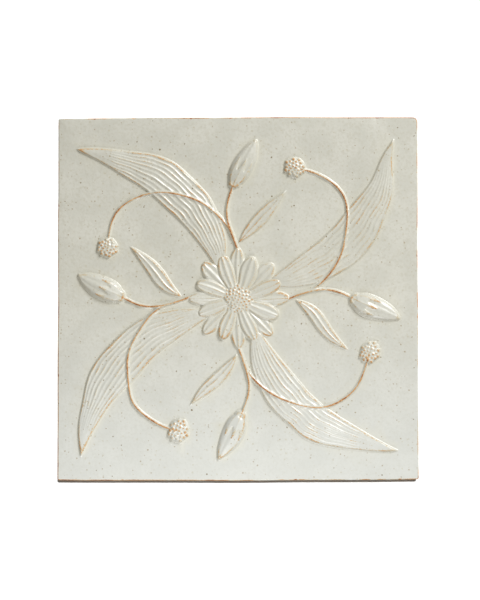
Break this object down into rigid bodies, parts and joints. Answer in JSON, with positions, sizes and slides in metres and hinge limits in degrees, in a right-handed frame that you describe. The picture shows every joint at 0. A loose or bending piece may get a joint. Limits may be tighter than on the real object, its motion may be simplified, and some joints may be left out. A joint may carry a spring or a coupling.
{
  "type": "handmade tile",
  "caption": "Square handmade stoneware tile with a raised floral relief under a pale satin glaze, eased edges and keying grooves in its back.",
  "frame": {"origin": "centre of the tile's outline, on its back face, which rests on the floor", "axes": "+Z out of the decorated face, +X to the right of the face and +Y to its top as the picture shows it"},
  "size_m": [0.2006, 0.202, 0.0142],
  "materials": {
    "glaze": "satin off-white glaze with fine iron specks, broken to tan on crests and edges"
  },
  "bodies": {
    "root": {"tile": "glaze"}
  },
  "joints": []
}
